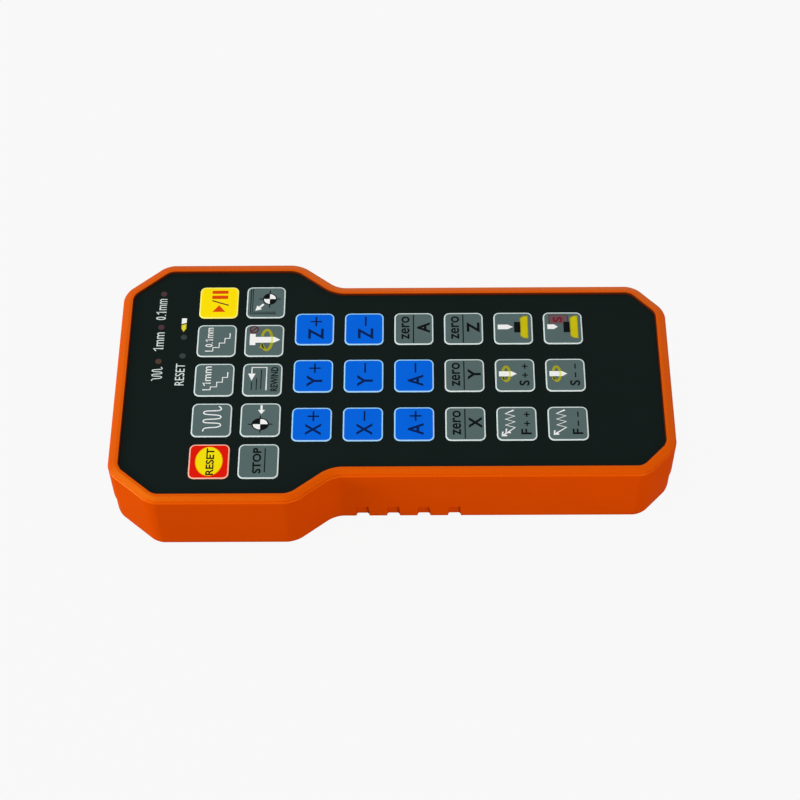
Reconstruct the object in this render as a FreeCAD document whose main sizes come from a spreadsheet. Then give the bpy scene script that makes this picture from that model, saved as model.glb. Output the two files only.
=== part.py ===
import FreeCAD, Part
import math
import os
import re
import Sketcher

# A hand-held machine control keypad: two case shells, a recessed printed face and 28 short-stroke keys.
# The head end points along -X and the grip along +X. The keys face +Z, and the underside is at Z = 0.

# Driving dimensions, in millimetres and degrees
SIZES = {
    # case outline, seen from above
    "case_length": 192.0,
    "head_width": 100.3,
    "grip_width": 79.6,
    "head_chamfer": 14.8,
    "head_angle": 40.2,
    "shoulder_start": 62.7,
    "shoulder_angle": 37.5,
    "tail_chamfer": 10.4,
    "tail_angle": 46.4,
    "corner_radius": 7.5,
    "shoulder_radius": 9.8,
    "waist_radius": 8.2,
    # case heights and walls
    "case_height": 30.0,
    "parting_height": 13.2,
    "wall": 3.0,
    "floor_thickness": 3.2,
    "plate_thickness": 2.0,
    "bottom_round": 3.0,
    "shell_step": 0.4,
    # raised rim round the face
    "rim_width": 3.8,
    "ledge_width": 0.65,
    "ledge_drop": 0.9,
    "ledge_edge": 0.4,
    "rim_slope_width": 1.75,
    "rim_slope_drop": 0.45,
    # joint between the shells
    "tongue_width": 1.1,
    "tongue_height": 1.5,
    "tongue_gap": 0.1,
    "seal_thickness": 0.8,
    # printed face
    "face_depth": 0.8,
    "overlay_thickness": 0.5,
    "spacer_thickness": 0.5,
    "face_gap": 0.1,
    # keys
    "key_size": 13.64,
    "key_radius": 2.0,
    "key_rise": 0.2,
    "key_travel": 0.4,
    "key_clearance": 0.05,
    "spacer_margin": 0.4,
    "head_keys_start": 34.15,
    "head_keys_y": -0.35,
    "head_pitch": 16.67,
    "grip_keys_start": 68.37,
    "grip_keys_y": 1.12,
    "grip_pitch_x": 17.45,
    "grip_pitch_y": 20.05,
    "stem_width": 4.0,
    "stem_engagement": 0.5,
    # switches and status lamps
    "switch_size": 6.0,
    "switch_height": 3.5,
    "switch_bore_depth": 1.2,
    "pipe_width": 2.6,
    "pipe_gap": 0.1,
    "pipe_collar_width": 4.4,
    "pipe_collar_height": 0.8,
    "lamp_size": 2.8,
    "lamp_height": 1.0,
    "step_lamps_start": 14.5,
    "step_lamps_y": 7.9,
    "step_lamps_pitch": 14.5,
    "state_lamps_start": 22.7,
    "state_lamps_y": 9.9,
    "state_lamps_pitch": 8.0,
    # circuit board
    "board_thickness": 1.6,
    "board_clearance": 0.6,
    "standoff_height": 4.8,
    "standoff_radius": 3.0,
    # what the board carries underneath
    "controller_start": 42.5,
    "controller_y": 8.0,
    "controller_size": 12.0,
    "controller_height": 1.5,
    "radio_start": 26.0,
    "radio_y": -12.0,
    "radio_width": 16.0,
    "radio_depth": 24.0,
    "radio_height": 2.6,
    "antenna_start": 12.0,
    "antenna_width": 4.0,
    "antenna_depth": 20.0,
    "antenna_height": 1.2,
    "crystal_start": 31.0,
    "crystal_y": 16.0,
    "crystal_width": 4.5,
    "crystal_depth": 11.0,
    "crystal_height": 3.6,
    "regulator_start": 106.0,
    "regulator_width": 10.0,
    "regulator_depth": 14.0,
    "regulator_height": 3.0,
    # case screws and the columns that take them
    "screw_radius": 1.5,
    "screw_head_radius": 2.8,
    "screw_head_height": 2.0,
    "screw_recess": 5.0,
    "screw_depth": 7.0,
    "screw_gap": 0.1,
    "screw_end_gap": 0.6,
    "boss_radius": 4.0,
    "column_top": 10.0,
    "head_screws_start": 9.5,
    "head_screws_margin": 20.15,
    "waist_screws_start": 68.0,
    "waist_screws_margin": 2.8,
    "tail_screws_end": 16.0,
    "tail_screws_margin": 10.3,
    # board screws
    "board_screw_radius": 1.0,
    "board_screw_head_radius": 2.0,
    "board_screw_head_height": 1.4,
    "board_screw_depth": 3.5,
    # grip grooves across the underside
    "groove_width": 4.9,
    "groove_depth": 1.8,
    "groove_side": 0.8,
    "groove_rise": 5.6,
    "groove_start": 85.4,
    "groove_pitch": 10.55,
    # battery bay
    "cell_radius": 7.25,
    "cell_length": 49.5,
    "cell_nub_radius": 2.75,
    "cell_nub_length": 1.0,
    "cell_spacing": 14.9,
    "cell_floor_gap": 0.3,
    "bay_tail_margin": 12.1,
    "bay_wall": 1.6,
    "bay_height": 12.0,
    "bay_side_gap": 0.3,
    "contact_thickness": 0.4,
    "contact_width": 10.0,
    "bridge_top": 15.6,
    "spring_length": 4.0,
    "spring_radius": 4.0,
    # battery cover
    "cover_thickness": 2.0,
    "cover_side_margin": 9.4,
    "cover_end_margin": 2.0,
    "cover_gap": 0.15,
    "cover_radius": 3.0,
    "cover_screw_radius": 1.25,
    "cover_screw_head_radius": 2.4,
    "cover_screw_head_height": 1.2,
    "cover_screw_length": 6.6,
    "cover_boss_radius": 3.0,
    "cover_boss_top": 8.6,
}


def from_head(distance):
    """The place along X that lies a distance from the head end."""
    return f"({distance} - case_length/2)"


def from_tail(distance):
    return f"(case_length/2 - {distance})"


# Heights up through the face, as expressions of the driving dimensions
OVERLAY_TOP = "(case_height - face_depth)"
OVERLAY_BOTTOM = f"({OVERLAY_TOP} - overlay_thickness)"
PLATE_TOP = f"({OVERLAY_BOTTOM} - spacer_thickness)"
PLATE_BOTTOM = f"({PLATE_TOP} - plate_thickness)"
BOARD_TOP = f"({PLATE_BOTTOM} - standoff_height)"
BOARD_BOTTOM = f"({BOARD_TOP} - board_thickness)"
LEDGE_TOP = "(case_height - ledge_drop)"
KEY_BOTTOM = f"({PLATE_TOP} + key_travel + key_clearance)"
SWITCH_TOP = f"({BOARD_TOP} + switch_height)"

# Centres of the first key of each block, and of the lamps
HEAD_KEYS_X = from_head("head_keys_start")
GRIP_KEYS_X = from_head("grip_keys_start")
STEP_LAMPS_X = from_head("step_lamps_start")
STATE_LAMPS_X = from_head("state_lamps_start")
GROOVES_X = from_head("groove_start")

# A rounded corner and the flat that touches its arc cut off the same depth
KEY_CORNER = "(key_radius*(2 - sqrt(2)))"

# The battery bay lies along the grip, with the cells side by side
CELL_HEIGHT = "(cover_thickness + cell_floor_gap + cell_radius)"
BAY_LENGTH = "(cell_length + cell_nub_length + spring_length + 2*contact_thickness)"
BAY_END = from_tail("bay_tail_margin")
BAY_START = f"({BAY_END} - {BAY_LENGTH})"
BAY_MIDDLE = f"({BAY_END} - {BAY_LENGTH}/2)"
BAY_WIDTH = "(cell_spacing + 2*cell_radius + 2*bay_side_gap)"
COVER_LENGTH = f"({BAY_LENGTH} + 2*cover_end_margin)"
COVER_WIDTH = f"({BAY_WIDTH} + 2*cover_side_margin)"
COVER_SCREW_Y = f"({BAY_WIDTH}/2 + cover_side_margin/2)"

# Keys, column by column from the head to the grip, and row by row along +Y
KEY_NAMES = [
    "key_reset", "key_continuous_jog", "key_step_one", "key_step_tenth", "key_run_pause",
    "key_stop", "key_go_to_zero", "key_rewind", "key_spindle", "key_go_home",
    "key_x_plus", "key_y_plus", "key_z_plus",
    "key_x_minus", "key_y_minus", "key_z_minus",
    "key_a_plus", "key_a_minus", "key_a_zero",
    "key_x_zero", "key_y_zero", "key_z_zero",
    "key_feed_up", "key_speed_up", "key_probe",
    "key_feed_down", "key_speed_down", "key_probe_plate",
]
GROOVE_COUNT = 4
EIGHTH_TURNS = [22.5 + 45 * step for step in range(8)]

doc = FreeCAD.newDocument("ControlKeypad")
sheet = doc.addObject("Spreadsheet::Sheet", "Sizes")
for row, (alias, number) in enumerate(SIZES.items(), start=1):
    sheet.set(f"A{row}", alias)
    sheet.set(f"B{row}", str(number))
    sheet.setAlias(f"B{row}", alias)
doc.recompute()

nodes = {}


# Expressions

def sized(text):
    """Point each driving dimension's name in an expression at its cell."""
    def point(word):
        return f"Sizes.{word.group()}" if word.group() in SIZES else word.group()

    return re.sub(r"[a-z_]+", point, text)


def amount(text):
    """The present value of an expression."""
    return float(sheet.evalExpression(sized(text)))


def bind(item, prop, text):
    item.setExpression(prop, sized(text))


# Places where keys, screws and lamps stand, as pairs of expressions

def grid(start_x, start_y, pitch_x, pitch_y, columns, rows):
    """Grid positions, column by column, whose rows are centred on start_y."""
    return [
        (f"{start_x} + {column}*{pitch_x}", f"{start_y} + {row - (rows - 1)/2}*{pitch_y}")
        for column in range(columns)
        for row in range(rows)
    ]


def mirrored_pair(x, y):
    return [(x, f"-({y})"), (x, y)]


HEAD_PLACES = grid(HEAD_KEYS_X, "head_keys_y", "head_pitch", "head_pitch", 2, 5)
GRIP_PLACES = grid(GRIP_KEYS_X, "grip_keys_y", "grip_pitch_x", "grip_pitch_y", 6, 3)
KEY_GRIDS = [
    (HEAD_PLACES[0], "head_pitch", "head_pitch", 2, 5),
    (GRIP_PLACES[0], "grip_pitch_x", "grip_pitch_y", 6, 3),
]
CASE_SCREWS = (
    mirrored_pair(from_head("head_screws_start"), "head_width/2 - head_screws_margin")
    + mirrored_pair(from_head("waist_screws_start"), "grip_width/2 - waist_screws_margin")
    + mirrored_pair(from_tail("tail_screws_end"), "grip_width/2 - tail_screws_margin")
)
COVER_SCREWS = mirrored_pair(BAY_MIDDLE, COVER_SCREW_Y)
BOARD_SCREWS = [
    (f"{HEAD_KEYS_X} + head_pitch/2", f"head_keys_y + {step}*head_pitch") for step in (-1.5, 1.5)
] + [
    (f"{GRIP_KEYS_X} + {column}*grip_pitch_x", f"grip_keys_y + {step}*grip_pitch_y")
    for column in (1.5, 4.5)
    for step in (-0.5, 0.5)
]
LAMPS = [(STEP_LAMPS_X, f"step_lamps_y + {step}*step_lamps_pitch") for step in range(3)] + [
    (STATE_LAMPS_X, f"state_lamps_y + {step}*state_lamps_pitch") for step in range(2)
]


# Bodies and sketches

def new_body(name):
    body = doc.addObject("PartDesign::Body", name)
    body.Label = name
    nodes[name] = body
    return body


def new_sketch(body, height, role="XY_Plane"):
    """A sketch on one of the body's origin planes, moved along the plane's normal to height."""
    sketch = body.newObject("Sketcher::SketchObject", f"{body.Name}_sketch")
    plane = next(item for item in body.Origin.OriginFeatures if item.Role == role)
    sketch.AttachmentSupport = [(plane, "")]
    sketch.MapMode = "FlatFace"
    bind(sketch, "AttachmentOffset.Base.z", height)
    doc.recompute()
    return sketch


def hold(sketch, kind, *places, to=None):
    """Add one constraint, and bind its value to an expression when it has one."""
    if to is None:
        sketch.addConstraint(Sketcher.Constraint(kind, *places))
        return
    number = sketch.addConstraint(Sketcher.Constraint(kind, *places, amount(to)))
    bind(sketch, f"Constraints[{number}]", to)


def place_point(sketch, geometry, point, x, y):
    hold(sketch, "DistanceX", -1, 1, geometry, point, to=x)
    hold(sketch, "DistanceY", -1, 1, geometry, point, to=y)


def rounded_loop(sketch, corners):
    """Close a loop of corner arcs, anticlockwise, with a tangent line from each arc to the next."""
    arcs = []
    for x, y, radius, start, end, hollow in corners:
        centre = FreeCAD.Vector(amount(x), amount(y), 0)
        circle = Part.Circle(centre, FreeCAD.Vector(0, 0, 1), amount(radius))
        arc = Part.ArcOfCircle(circle, math.radians(amount(start)), math.radians(amount(end)))
        arcs.append(sketch.addGeometry(arc))
    entries = [2 if corner[5] else 1 for corner in corners]
    exits = [1 if corner[5] else 2 for corner in corners]
    for index, arc in enumerate(arcs):
        following = (index + 1) % len(arcs)
        begin = sketch.getPoint(arc, exits[index])
        finish = sketch.getPoint(arcs[following], entries[following])
        line = sketch.addGeometry(Part.LineSegment(begin, finish))
        hold(sketch, "Tangent", arc, exits[index], line, 1)
        hold(sketch, "Tangent", line, 2, arcs[following], entries[following])
    for arc, (x, y, radius, start, end, hollow) in zip(arcs, corners):
        place_point(sketch, arc, 3, x, y)
        hold(sketch, "Radius", arc, to=radius)


def rounded_rectangle(sketch, x, y, width, depth, radius):
    """A rectangle centred on x, y with rounded corners."""
    right, left = f"{x} + {width}/2 - ({radius})", f"{x} - {width}/2 + {radius}"
    top, bottom = f"{y} + {depth}/2 - ({radius})", f"{y} - {depth}/2 + {radius}"
    rounded_loop(sketch, [
        (right, top, radius, "0", "90", False),
        (left, top, radius, "90", "180", False),
        (left, bottom, radius, "180", "270", False),
        (right, bottom, radius, "270", "360", False),
    ])


def polygon(sketch, points):
    """A closed polygon with each corner placed by expressions."""
    spots = [FreeCAD.Vector(amount(x), amount(y), 0) for x, y in points]
    following = spots[1:] + spots[:1]
    lines = [sketch.addGeometry(Part.LineSegment(begin, finish)) for begin, finish in zip(spots, following)]
    for index, line in enumerate(lines):
        hold(sketch, "Coincident", line, 2, lines[(index + 1) % len(lines)], 1)
        place_point(sketch, line, 1, *points[index])


def rectangle(sketch, x, y, width, depth):
    polygon(sketch, [
        (f"{x} - {width}/2", f"{y} - {depth}/2"),
        (f"{x} + {width}/2", f"{y} - {depth}/2"),
        (f"{x} + {width}/2", f"{y} + {depth}/2"),
        (f"{x} - {width}/2", f"{y} + {depth}/2"),
    ])


def squares(sketch, places, side):
    for x, y in places:
        rectangle(sketch, x, y, side, side)


def octagons(sketch, places, radius):
    """Eight-sided posts or holes, for small round forms that stay out of sight."""
    for x, y in places:
        polygon(sketch, [
            (f"{x} + ({radius})*cos({angle})", f"{y} + ({radius})*sin({angle})") for angle in EIGHTH_TURNS
        ])


def cut_square(sketch, x, y, side, corner):
    """A square centred on x, y whose corners are cut off."""
    half, short = f"{side}/2", f"({side}/2 - {corner})"
    polygon(sketch, [
        (f"{x} + {along}", f"{y} + {across}") for along, across in (
            (half, f"-{short}"), (half, short), (short, half), (f"-{short}", half),
            (f"-{half}", short), (f"-{half}", f"-{short}"), (f"-{short}", f"-{half}"), (short, f"-{half}"),
        )
    ])


def circles(sketch, places, radius):
    for x, y in places:
        centre = FreeCAD.Vector(amount(x), amount(y), 0)
        circle = sketch.addGeometry(Part.Circle(centre, FreeCAD.Vector(0, 0, 1), amount(radius)))
        place_point(sketch, circle, 3, x, y)
        hold(sketch, "Radius", circle, to=radius)


def far_corners(insets):
    """The six corners of the outline's far side, from tail to head, each moved inward by its own inset."""
    tail_end, tail_side, waist, shoulder, head_side, head_end = insets
    half_head, half_grip = "head_width/2", "grip_width/2"
    waist_start = f"(shoulder_start + ({half_head} - {half_grip})/tan(shoulder_angle))"
    tail_flat = f"{half_grip} - tail_chamfer*tan(tail_angle)"
    head_flat = f"{half_head} - head_chamfer*tan(head_angle)"
    return [
        (from_tail(tail_end), f"{tail_flat} - {tail_end}*tan(45 - tail_angle/2)"),
        (from_tail(f"(tail_chamfer + {tail_side}*tan(tail_angle/2))"), f"{half_grip} - {tail_side}"),
        (from_head(f"{waist_start} - {waist}*tan(shoulder_angle/2)"), f"{half_grip} - {waist}"),
        (from_head(f"shoulder_start - {shoulder}*tan(shoulder_angle/2)"), f"{half_head} - {shoulder}"),
        (from_head(f"head_chamfer + {head_side}*tan(head_angle/2)"), f"{half_head} - {head_side}"),
        (from_head(head_end), f"{head_flat} - {head_end}*tan(45 - head_angle/2)"),
    ]


CORNER_ARCS = [
    ("corner_radius", "0", "90 - tail_angle", False),
    ("corner_radius", "90 - tail_angle", "90", False),
    ("waist_radius", "270 - shoulder_angle", "270", True),
    ("shoulder_radius", "90 - shoulder_angle", "90", False),
    ("corner_radius", "90", "90 + head_angle", False),
    ("corner_radius", "90 + head_angle", "180", False),
]


def case_outline(sketch, inset):
    """The case's outline from above, moved inward by inset. Its corner arcs keep their centres."""
    centres = far_corners([f"(-{radius})" if hollow else radius for radius, start, end, hollow in CORNER_ARCS])
    far_side = [
        (x, y, f"{radius} + {inset}" if hollow else f"{radius} - ({inset})", start, end, hollow)
        for (x, y), (radius, start, end, hollow) in zip(centres, CORNER_ARCS)
    ]
    near_side = [
        (x, f"-({y})", radius, f"-({end})", f"-({start})", hollow)
        for x, y, radius, start, end, hollow in reversed(far_side)
    ]
    rounded_loop(sketch, far_side + near_side)


def inner_outline(sketch, inset):
    """The case's outline moved inward, with sharp corners, for what lies inside the shells."""
    far_side = far_corners([f"({inset})"] * 6)
    polygon(sketch, far_side + [(x, f"-({y})") for x, y in reversed(far_side)])


# Features

def finish_feature(body, feature, grows):
    """Build one feature, and make sure that it added or removed material."""
    before = body.Shape.Volume if body.Shape.Solids else 0.0
    doc.recompute()
    change = feature.Shape.Volume - before
    if (change > 0) != grows or abs(change) < 1e-4:
        raise RuntimeError(f"{body.Label}: {feature.Name} changed the volume by {change:.4f}")
    return feature


def pad(body, sketch, length, down=False, both_sides=False):
    feature = body.newObject("PartDesign::Pad", f"{body.Name}_pad")
    feature.Profile = sketch
    feature.Reversed = down
    feature.Midplane = both_sides
    bind(feature, "Length", length)
    return finish_feature(body, feature, grows=True)


def pocket(body, sketch, length, up=False, both_sides=False):
    feature = body.newObject("PartDesign::Pocket", f"{body.Name}_pocket")
    feature.Profile = sketch
    feature.Reversed = up
    feature.Midplane = both_sides
    bind(feature, "Length", length)
    return finish_feature(body, feature, grows=False)


def edges_at(feature, height):
    """Names of the edges that lie flat at a height."""
    level = amount(height)
    return [
        f"Edge{number}"
        for number, edge in enumerate(feature.Shape.Edges, start=1)
        if abs(edge.BoundBox.ZMin - level) < 1e-4 and abs(edge.BoundBox.ZMax - level) < 1e-4
    ]


def fillet(body, base, edges, radius):
    feature = body.newObject("PartDesign::Fillet", f"{body.Name}_fillet")
    feature.Base = (base, edges)
    bind(feature, "Radius", radius)
    return finish_feature(body, feature, grows=False)


def chamfer(body, base, edges, drop, width):
    """Slope the edges of a top face: drop down the side, and width across the top."""
    feature = body.newObject("PartDesign::Chamfer", f"{body.Name}_chamfer")
    feature.Base = (base, edges)
    feature.ChamferType = "Two distances"
    bind(feature, "Size", drop)
    bind(feature, "Size2", width)
    return finish_feature(body, feature, grows=False)


def row_of(body, sketch, axis, pitch, count):
    """One direction of a repeat."""
    feature = body.newObject("PartDesign::LinearPattern", f"{body.Name}_row")
    feature.Direction = (sketch, [axis])
    feature.Mode = "Spacing"
    bind(feature, "Offset", pitch)
    feature.Occurrences = count
    return feature


def key_grids(body, make_originals, grows):
    """Build features at the first key of the head and of the grip, and repeat them at every key."""
    for place, pitch_x, pitch_y, columns, rows in KEY_GRIDS:
        originals = make_originals(*place)
        sketch = originals[0].Profile[0]
        repeat = body.newObject("PartDesign::MultiTransform", f"{body.Name}_grid")
        repeat.Originals = originals
        repeat.Transformations = [
            row_of(body, sketch, "H_Axis", pitch_x, columns),
            row_of(body, sketch, "V_Axis", pitch_y, rows),
        ]
        body.Tip = repeat
        finish_feature(body, repeat, grows)


# Case

def front_shell():
    body = new_body("front_shell")
    sketch = new_sketch(body, "parting_height")
    case_outline(sketch, "0")
    block = pad(body, sketch, f"{LEDGE_TOP} - parting_height")
    chamfer(body, block, edges_at(block, LEDGE_TOP), "ledge_edge", "ledge_edge")

    # raised rim with a gentle outward slope
    sketch = new_sketch(body, "parting_height")
    case_outline(sketch, "ledge_width")
    rim = pad(body, sketch, "case_height - parting_height")
    chamfer(body, rim, edges_at(rim, "case_height"), "rim_slope_drop", "rim_slope_width")

    # recess for the printed face
    sketch = new_sketch(body, "case_height")
    case_outline(sketch, "rim_width")
    pocket(body, sketch, f"case_height - {PLATE_TOP}")

    # hollow inside, with a rebate for the back shell's tongue and the seal
    sketch = new_sketch(body, "parting_height")
    inner_outline(sketch, "wall")
    pocket(body, sketch, f"{PLATE_BOTTOM} - parting_height", up=True)
    sketch = new_sketch(body, "parting_height")
    inner_outline(sketch, "wall - tongue_width - tongue_gap")
    pocket(body, sketch, "tongue_height + seal_thickness", up=True)

    # screw bosses that stand on the back shell's columns, and standoffs for the board
    sketch = new_sketch(body, PLATE_BOTTOM)
    octagons(sketch, CASE_SCREWS, "boss_radius")
    pad(body, sketch, f"{PLATE_BOTTOM} - column_top", down=True)
    sketch = new_sketch(body, PLATE_BOTTOM)
    octagons(sketch, BOARD_SCREWS, "standoff_radius")
    pad(body, sketch, "standoff_height", down=True)
    sketch = new_sketch(body, "column_top")
    octagons(sketch, CASE_SCREWS, "screw_radius + screw_gap/2")
    pocket(body, sketch, "screw_depth + screw_end_gap", up=True)
    sketch = new_sketch(body, BOARD_TOP)
    octagons(sketch, BOARD_SCREWS, "board_screw_radius + screw_gap/2")
    pocket(body, sketch, "board_screw_depth + screw_end_gap", up=True)

    # holes for the light pipes and the key stems
    sketch = new_sketch(body, PLATE_TOP)
    squares(sketch, LAMPS, "(pipe_width + 2*pipe_gap)")
    pocket(body, sketch, "plate_thickness")

    def stem_hole(x, y):
        hole = new_sketch(body, PLATE_TOP)
        squares(hole, [(x, y)], "(stem_width + 2*key_clearance)")
        return [pocket(body, hole, "plate_thickness")]

    key_grids(body, stem_hole, grows=False)


def back_shell():
    body = new_body("back_shell")
    sketch = new_sketch(body, "0")
    case_outline(sketch, "shell_step")
    block = pad(body, sketch, "parting_height")
    fillet(body, block, edges_at(block, "0"), "bottom_round")
    sketch = new_sketch(body, "parting_height")
    inner_outline(sketch, "wall")
    pocket(body, sketch, "parting_height - floor_thickness")

    # tongue that fits inside the front shell
    sketch = new_sketch(body, "parting_height")
    inner_outline(sketch, "wall - tongue_width")
    inner_outline(sketch, "wall")
    pad(body, sketch, "tongue_height")

    # battery bay walls, and the opening with its rebate for the cover
    sketch = new_sketch(body, "floor_thickness")
    rectangle(sketch, BAY_MIDDLE, "0", f"({BAY_LENGTH} + 2*bay_wall)", f"({BAY_WIDTH} + 2*bay_wall)")
    rectangle(sketch, BAY_MIDDLE, "0", BAY_LENGTH, BAY_WIDTH)
    pad(body, sketch, "bay_height - floor_thickness")
    sketch = new_sketch(body, "floor_thickness")
    octagons(sketch, COVER_SCREWS, "cover_boss_radius")
    pad(body, sketch, "cover_boss_top - floor_thickness")
    sketch = new_sketch(body, "0")
    rounded_rectangle(sketch, BAY_MIDDLE, "0", COVER_LENGTH, COVER_WIDTH, "cover_radius")
    pocket(body, sketch, "cover_thickness", up=True)
    sketch = new_sketch(body, "0")
    rectangle(sketch, BAY_MIDDLE, "0", BAY_LENGTH, BAY_WIDTH)
    pocket(body, sketch, "floor_thickness", up=True)
    sketch = new_sketch(body, "0")
    octagons(sketch, COVER_SCREWS, "cover_screw_radius + screw_gap/2")
    pocket(body, sketch, "cover_screw_length + screw_end_gap", up=True)

    # screw columns with recesses for the heads
    sketch = new_sketch(body, "floor_thickness")
    octagons(sketch, CASE_SCREWS, "boss_radius")
    pad(body, sketch, "column_top - floor_thickness")
    sketch = new_sketch(body, "0")
    circles(sketch, CASE_SCREWS, "screw_head_radius + 2*screw_gap")
    pocket(body, sketch, "screw_recess", up=True)
    sketch = new_sketch(body, "screw_recess")
    octagons(sketch, CASE_SCREWS, "screw_radius + screw_gap")
    pocket(body, sketch, "column_top - screw_recess", up=True)

    # grip grooves across the underside and up both sides
    half_mouth, half_root = "groove_width/2", "(groove_width/2 - groove_side)"
    sketch = new_sketch(body, "0", role="XZ_Plane")
    polygon(sketch, [
        (f"{GROOVES_X} - {half_mouth}", "0"),
        (f"{GROOVES_X} + {half_mouth}", "0"),
        (f"{GROOVES_X} + {half_root}", "groove_depth"),
        (f"{GROOVES_X} - {half_root}", "groove_depth"),
    ])
    under = pocket(body, sketch, "grip_width", both_sides=True)
    line_pattern(body, [under])
    for side in ("", "-"):
        mouth, root = f"{side}(grip_width/2)", f"{side}(grip_width/2 - shell_step - groove_depth)"
        sketch = new_sketch(body, "0")
        polygon(sketch, [
            (f"{GROOVES_X} - {half_mouth}", mouth),
            (f"{GROOVES_X} + {half_mouth}", mouth),
            (f"{GROOVES_X} + {half_root}", root),
            (f"{GROOVES_X} - {half_root}", root),
        ])
        line_pattern(body, [pocket(body, sketch, "groove_rise", up=True)])


def line_pattern(body, originals):
    """Repeat a grip groove along X."""
    feature = body.newObject("PartDesign::LinearPattern", f"{body.Name}_pattern")
    feature.Originals = originals
    feature.Direction = (originals[0].Profile[0], ["H_Axis"])
    feature.Mode = "Spacing"
    bind(feature, "Offset", "groove_pitch")
    feature.Occurrences = GROOVE_COUNT
    body.Tip = feature
    return finish_feature(body, feature, grows=False)


def case_seal():
    body = new_body("case_seal")
    sketch = new_sketch(body, "parting_height + tongue_height")
    inner_outline(sketch, "wall - tongue_width")
    inner_outline(sketch, "wall")
    pad(body, sketch, "seal_thickness")


def case_screws():
    body = new_body("case_screws")
    sketch = new_sketch(body, "screw_recess")
    octagons(sketch, CASE_SCREWS, "screw_head_radius")
    pad(body, sketch, "screw_head_height", down=True)
    sketch = new_sketch(body, "screw_recess")
    octagons(sketch, CASE_SCREWS, "screw_radius")
    pad(body, sketch, "column_top + screw_depth - screw_recess")


# Printed face and keys

def face_sheet(name, bottom, thickness, window, lamp_holes):
    """A sheet in the face recess with a window for every key, and with or without holes for the lamps."""
    body = new_body(name)
    sketch = new_sketch(body, bottom)
    case_outline(sketch, "rim_width + face_gap")
    if lamp_holes:
        squares(sketch, LAMPS, "(pipe_width + 2*pipe_gap)")
    pad(body, sketch, thickness)

    def key_window(x, y):
        opening = new_sketch(body, bottom)
        window(opening, x, y)
        return [pocket(body, opening, thickness, up=True)]

    key_grids(body, key_window, grows=False)


def overlay():
    """The printed film. The lamps shine through spots of it that are left clear."""
    side = "(key_size + 2*key_clearance)"
    face_sheet(
        "graphic_overlay", OVERLAY_BOTTOM, "overlay_thickness",
        lambda sketch, x, y: cut_square(sketch, x, y, side, KEY_CORNER), lamp_holes=False,
    )


def spacer():
    side = "(key_size + 2*spacer_margin)"
    face_sheet(
        "adhesive_spacer", PLATE_TOP, "spacer_thickness",
        lambda sketch, x, y: rectangle(sketch, x, y, side, side), lamp_holes=True,
    )


def key(name, x, y):
    """One key: a square pad with cut corners, and a square stem that reaches into its switch."""
    body = new_body(name)
    sketch = new_sketch(body, KEY_BOTTOM)
    cut_square(sketch, x, y, "key_size", KEY_CORNER)
    pad(body, sketch, f"{OVERLAY_TOP} + key_rise - {KEY_BOTTOM}")
    sketch = new_sketch(body, KEY_BOTTOM)
    squares(sketch, [(x, y)], "stem_width")
    pad(body, sketch, f"{KEY_BOTTOM} - {SWITCH_TOP} + stem_engagement", down=True)


def keys():
    for name, (x, y) in zip(KEY_NAMES, HEAD_PLACES + GRIP_PLACES):
        key(name, x, y)


# Circuit board and what it carries

def keypad_board():
    body = new_body("keypad_board")
    sketch = new_sketch(body, BOARD_BOTTOM)
    inner_outline(sketch, "wall + board_clearance")
    pad(body, sketch, "board_thickness")
    sketch = new_sketch(body, BOARD_BOTTOM)
    octagons(sketch, CASE_SCREWS, "boss_radius + board_clearance")
    pocket(body, sketch, "board_thickness", up=True)
    sketch = new_sketch(body, BOARD_BOTTOM)
    octagons(sketch, BOARD_SCREWS, "board_screw_radius + screw_gap")
    pocket(body, sketch, "board_thickness", up=True)


def board_screws():
    body = new_body("board_screws")
    sketch = new_sketch(body, BOARD_BOTTOM)
    octagons(sketch, BOARD_SCREWS, "board_screw_head_radius")
    pad(body, sketch, "board_screw_head_height", down=True)
    sketch = new_sketch(body, BOARD_BOTTOM)
    octagons(sketch, BOARD_SCREWS, "board_screw_radius")
    pad(body, sketch, "board_thickness + board_screw_depth")


def key_switches():
    """The 28 switch housings, each with the bore that its key's stem enters."""
    body = new_body("key_switches")

    def housing(x, y):
        square = new_sketch(body, BOARD_TOP)
        rectangle(square, x, y, "switch_size", "switch_size")
        block = pad(body, square, "switch_height")
        bore = new_sketch(body, SWITCH_TOP)
        squares(bore, [(x, y)], "(stem_width + 2*key_clearance)")
        return [block, pocket(body, bore, "switch_bore_depth")]

    key_grids(body, housing, grows=True)


def light_pipes():
    """Square light guides that stand over the lamps and end just under the film."""
    body = new_body("light_pipes")
    bottom = f"({BOARD_TOP} + lamp_height + 2*pipe_gap)"
    sketch = new_sketch(body, bottom)
    squares(sketch, LAMPS, "pipe_width")
    pad(body, sketch, f"{OVERLAY_BOTTOM} - {bottom}")
    sketch = new_sketch(body, PLATE_BOTTOM)
    squares(sketch, LAMPS, "pipe_collar_width")
    pad(body, sketch, "pipe_collar_height", down=True)


def status_lamps():
    body = new_body("status_lamps")
    sketch = new_sketch(body, BOARD_TOP)
    squares(sketch, LAMPS, "lamp_size")
    pad(body, sketch, "lamp_height")


def board_part(name, start, y, width, depth, height):
    """A block mounted under the board, centred a distance from the head end and y across."""
    body = new_body(name)
    sketch = new_sketch(body, BOARD_BOTTOM)
    rectangle(sketch, from_head(start), y, width, depth)
    pad(body, sketch, height, down=True)


def board_parts():
    board_part(
        "main_controller", "controller_start", "controller_y",
        "controller_size", "controller_size", "controller_height",
    )
    board_part("radio_module", "radio_start", "radio_y", "radio_width", "radio_depth", "radio_height")
    board_part(
        "radio_antenna", "antenna_start", "radio_y",
        "antenna_width", "antenna_depth", "antenna_height",
    )
    board_part(
        "quartz_crystal", "crystal_start", "crystal_y",
        "crystal_width", "crystal_depth", "crystal_height",
    )
    board_part(
        "power_regulator", "regulator_start", "0",
        "regulator_width", "regulator_depth", "regulator_height",
    )


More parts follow.
